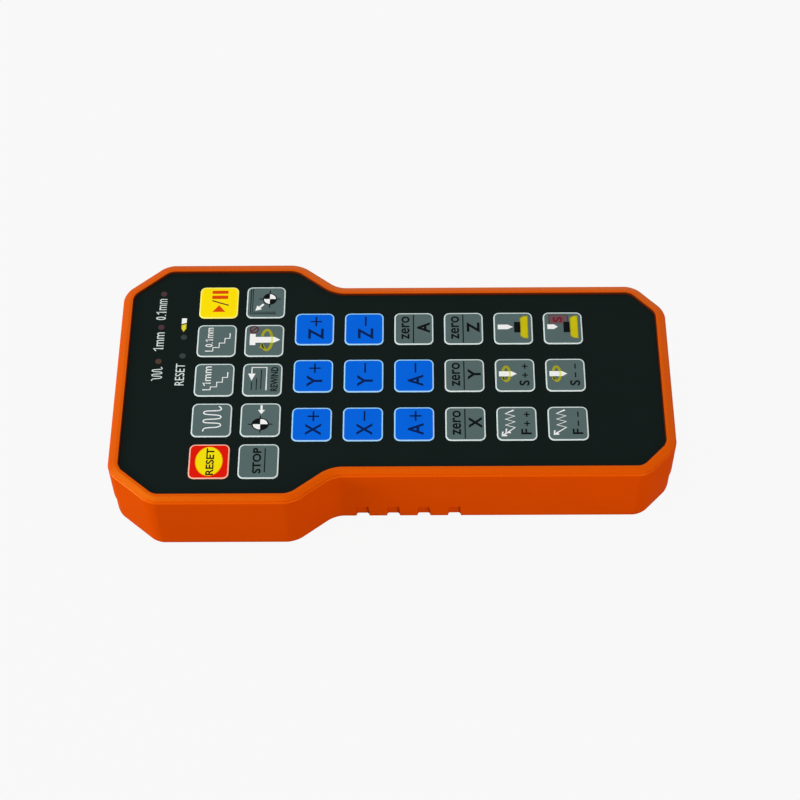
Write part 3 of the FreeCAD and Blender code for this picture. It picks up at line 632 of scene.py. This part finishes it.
key_nodes = sorted(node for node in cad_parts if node.startswith("key_") and node != "key_switches")
film = case_sheet("face_film", FILM_BOTTOM)
pick("FACE", lambda face: True)
inset(RIM_WIDTH + FACE_GAP)
bpy.ops.mesh.select_all(action="INVERT")
bpy.ops.mesh.delete(type="FACE")
pick("FACE", lambda face: True)
rise(FILM_TOP - FILM_BOTTOM)
turn_outward(film)
windows = []
opening = KEY_SIZE + 2 * KEY_GAP
for node in key_nodes:
    low_end = FILM_BOTTOM - TOOL_REACH
    window = rounded_plate("window", key_middle(node), opening, opening, KEY_ROUND + KEY_GAP, low_end)
    rise(FILM_TOP + TOOL_REACH - low_end)
    turn_outward(window)
    windows.append(window)
cut_away(film, join("windows", windows))
apply_all(film)
film.data.materials.append(black_film)
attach(film, "case")
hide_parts("graphic_overlay")

# Keys
# Twenty-eight printed film pads with rounded corners, each over its own short-stroke switch.
# A thin pale line is printed round the edge of each pad, inside the colour.
BORDER = 0.44
EDGE_ROUND = 0.12

# Satin film over opaque ink: the ink's colour, its slight clouds, and the pale ink of the border line
KEY_INKS = {
    "grey": ("#576B6A", "#526665", "#D8E8E6"),
    "blue": ("#0067E3", "#0061DC", "#A2D8FF"),
    "red": ("#E01804", "#D81503", "#FBBAA4"),
    "yellow": ("#FFE604", "#FBDF02", "#FFF880"),
}
BLUE_KEYS = ["key_" + axis + "_" + way for axis in "xyza" for way in ("plus", "minus")]
key_films = {}
for ink, (colour, darker, border) in KEY_INKS.items():
    field = new_material("printed film " + ink, IOR=1.6, Specular_IOR_Level=0.03)
    grained(field, colour, darker, grain_mm=0.22, depth_mm=0.004, rough=(0.34, 0.46), cloud_mm=9.0)
    edge = new_material("pale border ink on " + ink, IOR=1.6, Specular_IOR_Level=0.03)
    grained(edge, border, border, grain_mm=0.22, depth_mm=0.004, rough=(0.34, 0.46))
    key_films[ink] = (edge, field)


def key_ink(node):
    """The name of the ink that a key is printed in."""
    if node in BLUE_KEYS:
        return "blue"
    return {"key_reset": "red", "key_run_pause": "yellow"}.get(node, "grey")


for node in key_nodes:
    pad = rounded_plate(node + "_pad", key_middle(node), KEY_SIZE, KEY_SIZE, KEY_ROUND, KEY_BOTTOM)
    rise(KEY_TOP - KEY_BOTTOM)
    turn_outward(pad)
    edit(pad)
    pick("EDGE", lies_at(KEY_TOP))
    bevel(EDGE_ROUND, 3)
    pick("FACE", level_face(KEY_TOP))
    inset(BORDER - EDGE_ROUND)
    close()
    for finish in key_films[key_ink(node)]:
        pad.data.materials.append(finish)
    top = max(pad.data.polygons, key=lambda face: face.normal.z * face.area)
    top.material_index = 1
    apply_all(pad)
    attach(pad, node + "_body")
    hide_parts(node)

# Key legends
# Screen-printed in opaque inks on the film, in layers a few hundredths of a millimetre thick.
# Each is drawn in millimetres about the key's middle, across and up, and turned to read from the tail end.
LAYER = 0.02
SINK = 0.01

# Each ink's colour, and the slightly darker one of its clouds
INKS = {
    "white": ("#F8FBFA", "#EFF3F1"),
    "black": ("#0B1011", "#080C0D"),
    "dark": ("#0D1517", "#0A1113"),
    "navy": ("#06235C", "#051F52"),
    "yellow": ("#F7E40A", "#EFDC06"),
    "pale yellow": ("#E8EA8A", "#DFE27E"),
    "mustard": ("#CFC313", "#C2B70E"),
    "olive": ("#A9A620", "#9D9A1A"),
    "amber": ("#F59A0A", "#EB9208"),
    "orange": ("#E24C0E", "#D7450A"),
    "wine": ("#5E2431", "#561E2B"),
    "wine tint": ("#6C565A", "#665054"),
    "wine red": ("#7C2633", "#73202C"),
    "lemon": ("#E6DF3E", "#DCD538"),
    "pale grey": ("#DCEAE6", "#D3E1DD"),
    "dull red": ("#553E34", "#4C372E"),
    "dull plum": ("#4E383D", "#463136"),
    "dim grey": ("#3A4241", "#343B3A"),
}
inks = {}
for name, (colour, darker) in INKS.items():
    inks[name] = new_material("screen ink " + name, IOR=1.5, Specular_IOR_Level=0.03)
    grained(inks[name], colour, darker, grain_mm=0.15, depth_mm=0.004, rough=(0.4, 0.55), cloud_mm=4.0)


def as_mesh(piece):
    """Turn a text or a curve into a mesh, with its doubled points merged."""
    deselect_all()
    piece.select_set(True)
    bpy.context.view_layer.objects.active = piece
    bpy.ops.object.convert(target="MESH")
    piece = bpy.context.object
    turn_outward(piece)
    return piece


def inked(piece, ink, level):
    """Give a drawn shape its ink, and set it at its layer's height above the key's top."""
    piece.data.materials.clear()
    piece.data.materials.append(inks[ink])
    low = min(vertex.co.z for vertex in piece.data.vertices)
    high = max(vertex.co.z for vertex in piece.data.vertices)
    for vertex in piece.data.vertices:
        share = (vertex.co.z - low) / (high - low)
        vertex.co.z = (share * (SINK + LAYER * level) - SINK) * MM
    return piece


def drawn_curve(points, closed, smooth=False):
    """A curve along points, straight from one to the next unless it is smooth."""
    data = bpy.data.curves.new("drawn", "CURVE")
    piece = bpy.data.objects.new("drawn", data)
    bpy.context.scene.collection.objects.link(piece)
    spline = data.splines.new("NURBS" if smooth else "POLY")
    spline.points.add(len(points) - 1)
    for point, (u, v) in zip(spline.points, points):
        point.co = (u * MM, v * MM, 0.0, 1.0)
    spline.use_cyclic_u = closed
    if smooth:
        spline.order_u = 4
        spline.use_endpoint_u = True
    return piece, data


def stroke(points, width, ink, level=1, smooth=False, closed=False):
    """A printed line of one width along points."""
    piece, data = drawn_curve(points, closed, smooth)
    data.dimensions = "3D"
    data.bevel_depth = width / 2 * MM
    data.bevel_resolution = 1
    data.use_fill_caps = not closed
    data.twist_mode = "Z_UP"
    return inked(as_mesh(piece), ink, level)


def patch(points, ink, level=1):
    """A printed area inside a closed outline."""
    piece, data = drawn_curve(points, closed=True)
    data.dimensions = "2D"
    data.fill_mode = "BOTH"
    data.extrude = 0.5 * MM
    return inked(as_mesh(piece), ink, level)


def arc_points(u, v, radius_u, radius_v, start=0.0, end=360.0, steps=32):
    """Points along part of an ellipse, from one angle to another."""
    angles = [math.radians(start + (end - start) * step / steps) for step in range(steps + 1)]
    return [(u + radius_u * math.cos(angle), v + radius_v * math.sin(angle)) for angle in angles]


def oval(u, v, radius_u, radius_v, ink, level=1):
    """A printed spot or ellipse about a middle."""
    return patch(arc_points(u, v, radius_u, radius_v)[:-1], ink, level)


def words(text, u, v, width, height, ink, level=1, bold=0.0):
    """Printed lettering, stretched to its measured width and height about a middle."""
    bpy.ops.object.text_add()
    piece = bpy.context.object
    piece.data.body = text
    piece.data.extrude = 0.1
    piece.data.offset = bold
    piece.data.resolution_u = 4
    piece = as_mesh(piece)
    points = [vertex.co for vertex in piece.data.vertices]
    low_x, high_x = min(p.x for p in points), max(p.x for p in points)
    low_y, high_y = min(p.y for p in points), max(p.y for p in points)
    for vertex in piece.data.vertices:
        vertex.co.x = (u + ((vertex.co.x - low_x) / (high_x - low_x) - 0.5) * width) * MM
        vertex.co.y = (v + ((vertex.co.y - low_y) / (high_y - low_y) - 0.5) * height) * MM
    return inked(piece, ink, level)


READING_TURN = Matrix.Rotation(math.radians(90.0), 4, "Z")


def printed(name, items, middle, height, body):
    """Join a print's shapes, turn them to their reading direction and set them on what carries them."""
    piece = join(name, items)
    place = Matrix.Translation(Vector((middle[0], middle[1], height)) * MM)
    piece.data.transform(place @ READING_TURN)
    apply_all(piece)
    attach(piece, body)


QUARTER_SHARE = 0.84


def target_mark(u, v, radius, reach, tallness=1.0):
    """A datum target: four quarters, black and white, on a cross of thin lines."""
    quarters = []
    inner = radius * QUARTER_SHARE
    for number, ink in enumerate(("black", "white", "black", "white")):
        start = 90.0 * number
        rounds = arc_points(u, v, inner, inner * tallness, start, start + 90, 10)
        quarters.append(patch([(u, v)] + rounds, ink, level=2))
    rim = oval(u, v, radius, radius * tallness, "black")
    lines = [
        stroke([(u - reach, v), (u + reach, v)], 0.38, "dark"),
        stroke([(u, v - reach * tallness), (u, v + reach * tallness)], 0.38, "dark"),
    ]
    return [rim] + quarters + lines


def arrow(tail, tip, head, breadth, shaft, ink):
    """A straight arrow with a solid head."""
    tail, tip = Vector(tail), Vector(tip)
    along = (tip - tail).normalized()
    aside = Vector((-along.y, along.x)) * breadth / 2
    base = tip - along * head
    return [
        patch([tuple(tip), tuple(base + aside), tuple(base - aside)], ink),
        stroke([tuple(tail), tuple(base)], shaft, ink),
    ]


RING_START, RING_END = 112.0, 428.0


def turning_ring(u, v, radius_u, radius_v, width, half_tool):
    """The ring that shows a spindle turning: behind the tool at the top, in front of it at the bottom."""
    ring = stroke(arc_points(u, v, radius_u, radius_v, RING_START, RING_END, 40), width, "olive")
    head = patch([(u - radius_u * 0.78, v + radius_v * 1.4), (u - radius_u * 0.86, v + radius_v * 0.1),
                  (u - radius_u * 0.25, v + radius_v * 0.95)], "olive")
    reach = math.degrees(math.asin(half_tool / radius_u))
    nearest = arc_points(u, v, radius_u, radius_v, 270.0 - reach, 270.0 + reach, 6)
    front = stroke(nearest, width, "pale yellow", level=3)
    return [ring, head, front]


def probe_block(top, base_top):
    """The touch plate under a probe: a black block on a yellow base."""
    return [
        patch([(-1.8, top), (2.75, top), (2.75, top - 2.2), (-1.8, top - 2.2)], "black"),
        patch([(-3.4, base_top), (4.5, base_top), (5.3, base_top - 1.2), (5.4, base_top - 2.8),
               (-4.4, base_top - 2.8), (-4.3, base_top - 1.2)], "olive"),
        patch([(-3.1, base_top - 0.3), (4.2, base_top - 0.3), (5.0, base_top - 1.3), (5.1, base_top - 2.5),
               (-4.1, base_top - 2.5), (-4.0, base_top - 1.3)], "mustard", level=2),
    ]


def wave(u, v, scale, width, ink):
    """A wave that starts on a short flat, has three deep dips joined by round turns, and ends on the rise."""
    points = [
        (-4.6, 2.8), (-3.7, 2.8), (-3.2, 2.2), (-3.05, 1.0), (-2.95, -1.6), (-2.6, -3.0), (-2.0, -3.25),
        (-1.4, -2.9), (-1.2, -1.6), (-1.1, 1.6), (-0.9, 2.7), (-0.35, 2.95), (0.2, 2.6), (0.4, 1.4),
        (0.45, -1.8), (0.75, -3.0), (1.3, -3.25), (1.9, -2.9), (2.1, -1.6), (2.3, 1.6), (2.55, 2.7),
        (3.1, 2.95), (3.65, 2.6), (3.8, 1.4), (3.85, -1.8), (4.1, -3.0), (4.65, -3.25), (5.2, -2.9),
        (5.7, -2.3),
    ]
    return [stroke([(u + a * scale, v + b * scale) for a, b in points], width, ink, smooth=True)]


# Where the figures and letters of a printed length start and end, as shares of its width
LENGTH_PLACES = {
    "1mm": {"1": (0.0, 0.16), "mm": (0.25, 1.0)},
    "0.1mm": {"0": (0.0, 0.15), ".": (0.185, 0.235), "1": (0.275, 0.395), "mm": (0.47, 1.0)},
}
# Shares of the figures' height
LETTER_HEIGHT, DOT_HEIGHT, STEM_WIDTH, STEM_INSET = 0.74, 0.14, 0.15, 0.08
FLAG_LOW, FLAG_HIGH = 0.24, 0.48


def measure(text, u, v, width, height, ink):
    """A printed length, whose figure one has a flag and whose letters are lower than its figures."""
    marks = []
    for mark, (low, high) in LENGTH_PLACES[text].items():
        left, right = u + (low - 0.5) * width, u + (high - 0.5) * width
        middle, breadth = (left + right) / 2, right - left
        if mark == "1":
            stem = right - height * STEM_INSET
            figure = [(left, v + height * FLAG_LOW), (stem, v + height * FLAG_HIGH), (stem, v - height / 2)]
            marks.append(stroke(figure, height * STEM_WIDTH, ink))
        elif mark == "0":
            marks.append(words(mark, middle, v, breadth, height, ink, bold=0.01))
        else:
            share = DOT_HEIGHT if mark == "." else LETTER_HEIGHT
            marks.append(words(mark, middle, v - height * (1 - share) / 2, breadth, height * share, ink))
    return marks


def stairs(start_u):
    """A flight of steps that goes down to the right."""
    return [
        stroke([(start_u, 3.9), (start_u, 1.2), (-2.9, 1.2), (-2.9, -0.95), (-0.95, -0.95), (-0.95, -2.85),
                (1.05, -2.85), (1.05, -4.55), (3.25, -4.55)], 0.4, "white"),
    ]


def zigzag(double):
    """A feed zigzag with one or two chevrons at its start."""
    heads = [(-5.0, 5.1), (-3.8, 3.8)] if double else [(-4.5, 4.9)]
    marks = [stroke([heads[0], (-1.6, 0.6), (-0.6, 3.8), (0.75, 0.6), (1.75, 3.8), (3.05, 0.6), (4.05, 3.8),
                     (5.5, 0.9)], 0.56, "white")]
    for u, v in heads:
        marks.append(stroke([(u + 1.7, v - 0.3), (u, v), (u + 0.2, v - 1.7)], 0.55, "white"))
    return marks


def sign_mark(u, v, half_width, half_height, sign, width, ink):
    """A plus or a minus about a middle."""
    marks = [stroke([(u - half_width, v), (u + half_width, v)], width, ink)]
    if sign == "+":
        marks.append(stroke([(u, v - half_height), (u, v + half_height)], width, ink))
    return marks


def stepped_name(letter, sign):
    """A letter and two signs, as F++ or S--."""
    marks = [words(letter, -3.3, -3.2, 2.2, 3.5, "black", bold=0.02)]
    for u in (0.0, 3.7):
        marks += sign_mark(u, -3.5, 1.05, 1.0, sign, 0.46, "black")
    return marks


def tool_tip(top, waist, tip, half_width, u):
    """A white cutting tool that points down."""
    return [patch([(u - half_width, top), (u + half_width, top), (u + half_width, waist), (u, tip),
                   (u - half_width, waist)], "white", level=2)]


def turning_tool():
    """A small turning tool, as the speed keys show."""
    return turning_ring(0.55, 3.0, 3.0, 1.25, 0.95, 1.05) + tool_tip(5.5, 1.1, -0.65, 1.05, 0.55)


def axis_legend(letter, sign):
    """An axis letter and its direction, as X+ or A-."""
    name = words(letter, -2.05, -0.5, 4.75, 5.4, "navy", bold=0.02)
    return [name] + sign_mark(3.3, -0.5, 2.05, 2.0, sign, 0.62, "navy")


def zero_legend(letter):
    return [
        words("zero", 0.4, 2.95, 9.9, 2.9, "black", bold=0.015),
        stroke([(-6.1, 0.15), (6.1, 0.15)], 0.4, "dark"),
        words(letter, 0.5, -3.4, 4.5, 4.5, "black", bold=0.03),
    ]


def reset_legend():
    return [
        oval(0.05, 0.0, 5.85, 4.7, "amber"),
        oval(0.05, 0.0, 5.6, 4.45, "yellow", level=2),
        words("RESET", -0.1, -0.35, 10.6, 2.7, "black", level=3, bold=0.02),
    ]


def run_pause_legend():
    return [
        patch([(-4.0, 2.2), (-4.0, -2.3), (-1.1, -0.05)], "orange"),
        stroke([(0.95, 2.5), (-1.15, -3.4)], 0.48, "wine"),
        patch([(1.7, 2.6), (3.15, 2.6), (3.15, -3.05), (1.7, -3.05)], "orange"),
        patch([(4.0, 2.6), (5.35, 2.6), (5.35, -3.05), (4.0, -3.05)], "orange"),
    ]


def rewind_legend():
    marks = arrow((2.8, 3.75), (-0.3, 3.75), 2.9, 2.6, 0.42, "white")
    marks.append(stroke([(2.6, 3.75), (5.2, 3.75), (5.2, -1.4), (-4.4, -1.4)], 0.42, "white"))
    for v, low, high in ((3.7, -4.3, -0.9), (2.0, -4.3, 0.6), (0.45, -3.9, 4.3)):
        marks.append(stroke([(low, v), (high, v)], 0.34, "dark"))
    marks.append(words("REWIND", 0.3, -4.15, 10.2, 2.5, "black", bold=0.02))
    return marks


def spindle_legend():
    return turning_ring(0.3, -0.9, 4.35, 1.8, 1.0, 1.2) + [
        patch([(-1.9, 5.1), (2.9, 5.1), (2.9, 3.1), (1.6, 3.1), (1.6, -3.5), (0.35, -5.6), (-0.85, -3.5),
               (-0.85, 3.1), (-1.9, 3.1)], "white", level=2),
        stroke(arc_points(4.8, 3.7, 1.4, 1.4)[:-1], 0.48, "wine", closed=True),
        stroke([(3.8, 4.7), (5.8, 2.7)], 0.48, "wine"),
    ]


def go_home_legend():
    return target_mark(1.55, -1.3, 2.5, 3.8) + arrow((-0.7, 0.8), (-3.6, 3.7), 2.1, 2.4, 0.75, "white") + [
        stroke([(6.0, 5.4), (-4.95, 5.4), (-4.95, -3.6)], 0.38, "dark"),
        stroke([(6.0, 4.7), (-4.25, 4.7), (-4.25, -3.6)], 0.3, "dark"),
    ]


def probe_legend():
    return tool_tip(5.4, 1.9, 0.05, 1.0, 0.6) + probe_block(-0.35, -2.45)


def probe_plate_legend():
    return tool_tip(5.4, 3.1, 1.7, 1.0, 0.6) + probe_block(-0.25, -2.55) + [
        patch([(2.0, 4.7), (5.7, 4.7), (5.7, -1.8), (2.9, -1.8), (2.9, -0.3), (2.0, -0.3)], "wine tint"),
        stroke([(2.0, 4.7), (5.7, 4.7), (5.7, -1.8), (2.9, -1.8)], 0.34, "wine", level=2),
        words("S", 3.65, 1.75, 2.5, 3.5, "wine red", level=2, bold=0.04),
    ]


LEGENDS = {
    "key_reset": reset_legend,
    "key_continuous_jog": lambda: wave(0.0, 0.0, 1.0, 0.4, "white"),
    "key_step_one": lambda: stairs(-4.1) + measure("1mm", 1.65, 2.5, 8.1, 2.8, "white"),
    "key_step_tenth": lambda: stairs(-4.4) + measure("0.1mm", 1.5, 2.6, 8.3, 2.6, "white"),
    "key_run_pause": run_pause_legend,
    "key_stop": lambda: [
        words("STOP", 0.3, 0.55, 10.2, 2.9, "black", bold=0.03),
        stroke([(-4.4, -2.15), (5.2, -2.15)], 0.38, "black"),
    ],
    "key_go_to_zero": lambda: (
        target_mark(-1.75, 0.0, 2.5, 3.5, 1.2) + arrow((6.0, -0.2), (2.4, -0.2), 1.7, 2.4, 0.7, "white")
    ),
    "key_rewind": rewind_legend,
    "key_spindle": spindle_legend,
    "key_go_home": go_home_legend,
    "key_feed_up": lambda: zigzag(True) + stepped_name("F", "+"),
    "key_feed_down": lambda: zigzag(False) + stepped_name("F", "-"),
    "key_speed_up": lambda: turning_tool() + stepped_name("S", "+"),
    "key_speed_down": lambda: turning_tool() + stepped_name("S", "-"),
    "key_probe": probe_legend,
    "key_probe_plate": probe_plate_legend,
}
for axis in "xyza":
    for way, sign in (("plus", "+"), ("minus", "-")):
        LEGENDS[f"key_{axis}_{way}"] = lambda axis=axis, sign=sign: axis_legend(axis.upper(), sign)
    LEGENDS[f"key_{axis}_zero"] = lambda axis=axis: zero_legend(axis.upper())
for node, draw in LEGENDS.items():
    printed(node + "_print", draw(), key_middle(node), KEY_TOP, node + "_body")

# Lamps and their labels
# Five round spots of the film are left clear over the lamps: three mark the chosen step, and two the state.
# Unlit, the first three show a dull red-brown and the others grey, and the labels are printed in pale grey.
LAMP_SITES = [(7.75, 81.75), (22.45, 81.75), (37.1, 81.75), (10.05, 73.5), (18.05, 73.5)]
LAMP_INKS = ["dull red", "dull plum", "dull plum", "dim grey", "dim grey"]
LAMP_RADIUS = 1.1
lamps = [oval(u, v, LAMP_RADIUS, LAMP_RADIUS, ink) for (u, v), ink in zip(LAMP_SITES, LAMP_INKS)]
labels = (
    wave(2.15, 82.0, 0.56, 0.34, "pale grey")
    + measure("1mm", 16.25, 82.15, 7.95, 3.5, "pale grey")
    + measure("0.1mm", 30.3, 82.15, 9.2, 3.5, "pale grey")
    + [words("RESET", 2.2, 73.95, 9.2, 3.2, "pale grey")]
    + [patch([(20.4, 73.8), (21.8, 74.65), (23.4, 74.65), (23.9, 72.9), (21.8, 72.9)], "mustard")]
    + [patch([(20.7, 73.8), (21.9, 74.4), (23.2, 74.4), (23.6, 73.2), (21.9, 73.2)], "lemon", level=2)]
    + [patch([(23.85, 74.65), (26.3, 74.65), (26.3, 72.9), (24.35, 72.9)], "white")]
)
printed("lamp_labels", lamps + labels, (0.0, 0.0), FILM_TOP, "case")

# Inside the case
# The seal, the spacer, the circuit board with its parts, and the battery bay's cells and contacts.
# Their CAD shapes are right as they are, so each only takes its real material: colours, metal and roughness.
INNER_FINISHES = {
    "matt silicone rubber": (["case_seal"], "#1E1F20", "#191A1B", 0.0, (0.62, 0.75)),
    "adhesive-backed polyester": (["adhesive_spacer"], "#C9C8BE", "#BFBEB4", 0.0, (0.45, 0.6)),
    "green solder mask": (["keypad_board"], "#12512E", "#0E4626", 0.0, (0.3, 0.42)),
    "black moulded nylon": (["key_switches"], "#17191A", "#131516", 0.0, (0.45, 0.6)),
    "white lamp package": (["status_lamps"], "#E6E4DA", "#DAD8CC", 0.0, (0.35, 0.5)),
    "frosted acrylic": (["light_pipes"], "#DDE2E0", "#D2D8D6", 0.0, (0.3, 0.45)),
    "black epoxy package": (["main_controller", "power_regulator"], "#1B1C1E", "#17181A", 0.0, (0.5, 0.62)),
    "tinned steel can": (["radio_module", "quartz_crystal"], "#BFC0BE", "#B1B3B1", 1.0, (0.28, 0.42)),
    "white ceramic": (["radio_antenna"], "#E4E1D6", "#DAD6CA", 0.0, (0.35, 0.45)),
    "shrink-wrapped cell": (["battery_cells"], "#24272B", "#1F2225", 0.0, (0.25, 0.38)),
    "nickel-plated spring steel": (
        ["battery_contacts", "battery_bridge", "battery_springs"], "#C8C4BA", "#BAB6AC", 1.0, (0.25, 0.4)
    ),
    "zinc-plated steel": (["board_screws"], "#B4B6B5", "#A5A7A7", 1.0, (0.28, 0.42)),
}
for name, (members, colour, darker, metal, rough) in INNER_FINISHES.items():
    finish = new_material(name, Metallic=metal)
    grained(finish, colour, darker, grain_mm=0.3, depth_mm=0.005, rough=rough, cloud_mm=6.0)
    for member in members:
        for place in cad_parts[member].material_slots:
            place.material = finish
